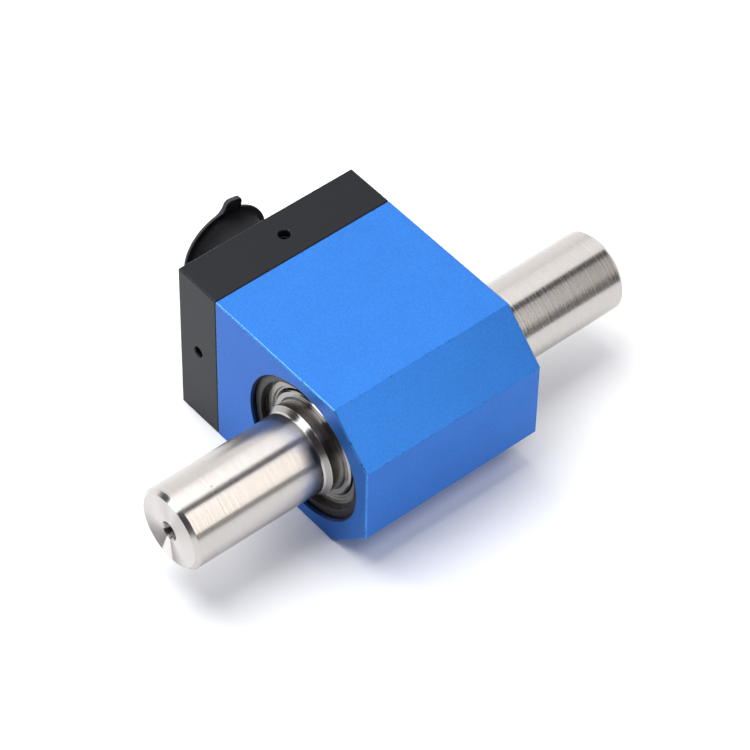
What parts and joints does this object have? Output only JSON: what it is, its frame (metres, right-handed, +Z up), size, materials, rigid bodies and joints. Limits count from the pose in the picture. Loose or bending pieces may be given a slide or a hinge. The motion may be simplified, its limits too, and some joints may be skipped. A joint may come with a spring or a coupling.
{
  "type": "rotary torque sensor",
  "caption": "Rotary torque sensor: a chamfered block housing with a through shaft on shielded ball bearings, an electronics cover and a capped round signal socket.",
  "frame": {"origin": "on the resting face, straight below the middle of the shaft axis", "axes": "+X along the shaft towards its rear end, +Y towards the cover and socket, +Z up from the resting face"},
  "size_m": [0.1106, 0.0726, 0.039],
  "materials": {
    "blue_anodised_aluminium": "satin blue anodised",
    "black_anodised_aluminium": "satin black anodised",
    "ground_steel": "turned and ground",
    "bearing_steel": "ground",
    "shield_steel": "pressed sheet",
    "spring_steel": "phosphated",
    "black_oxide_steel": "black oxide",
    "zinc_plated_steel": "zinc plated",
    "ferrite": "sintered",
    "copper": "enamelled wire",
    "gauge_foil": "polyimide foil",
    "board_laminate": "solder mask",
    "moulded_plastic": "moulded",
    "plated_brass": "nickel plated",
    "gold_plated_brass": "gold plated",
    "wire_insulation": "extruded",
    "cap_rubber": "matt",
    "seal_rubber": "matt"
  },
  "bodies": {
    "body": {"housing": "blue_anodised_aluminium", "end_cover": "black_anodised_aluminium", "cover_set_screws": "black_oxide_steel", "preload_washer": "spring_steel", "coil_leads": "copper", "main_board": "board_laminate", "board_screws": "zinc_plated_steel", "board_chips": "moulded_plastic", "board_capacitors": "moulded_plastic", "socket_shell": "plated_brass", "socket_gasket": "seal_rubber", "socket_nut": "plated_brass", "socket_insert": "moulded_plastic", "socket_contacts": "gold_plated_brass", "socket_wires": "wire_insulation", "front_outer_ring": "bearing_steel", "front_shields": "shield_steel", "front_shield_springs": "spring_steel", "front_retaining_ring": "spring_steel", "rear_outer_ring": "bearing_steel", "rear_shields": "shield_steel", "rear_shield_springs": "spring_steel", "rear_retaining_ring": "spring_steel", "power_stator_core": "ferrite", "power_stator_winding": "copper", "signal_stator_core": "ferrite", "signal_stator_winding": "copper"},
    "rotor": {"shaft": "ground_steel", "strain_gauges": "gauge_foil", "rotor_boards": "board_laminate", "front_inner_ring": "bearing_steel", "rear_inner_ring": "bearing_steel", "power_rotor_core": "ferrite", "power_rotor_winding": "copper", "signal_rotor_core": "ferrite", "signal_rotor_winding": "copper"},
    "front_ball_set": {"front_balls": "bearing_steel", "front_cage": "moulded_plastic"},
    "rear_ball_set": {"rear_balls": "bearing_steel", "rear_cage": "moulded_plastic"},
    "cap": {"dust_cap": "cap_rubber"}
  },
  "joints": [
    {"name": "shaft_spin", "type": "hinge", "parent": "body", "child": "rotor", "pos_m": [0, 0, 0.0195], "axis": [1, 0, 0], "continuous": true},
    {"name": "front_cage_spin", "type": "hinge", "parent": "body", "child": "front_ball_set", "pos_m": [-0.01645, 0, 0.0195], "axis": [1, 0, 0], "continuous": true},
    {"name": "rear_cage_spin", "type": "hinge", "parent": "body", "child": "rear_ball_set", "pos_m": [0.01645, 0, 0.0195], "axis": [1, 0, 0], "continuous": true},
    {"name": "cap_pull", "type": "slide", "parent": "body", "child": "cap", "axis": [0, 1, 0], "range_m": [0, 0.02]}
  ],
  "couplings": [
    {"joint": "front_cage_spin", "follows": "shaft_spin", "ratio": 0.43269},
    {"joint": "rear_cage_spin", "follows": "shaft_spin", "ratio": 0.43269}
  ]
}
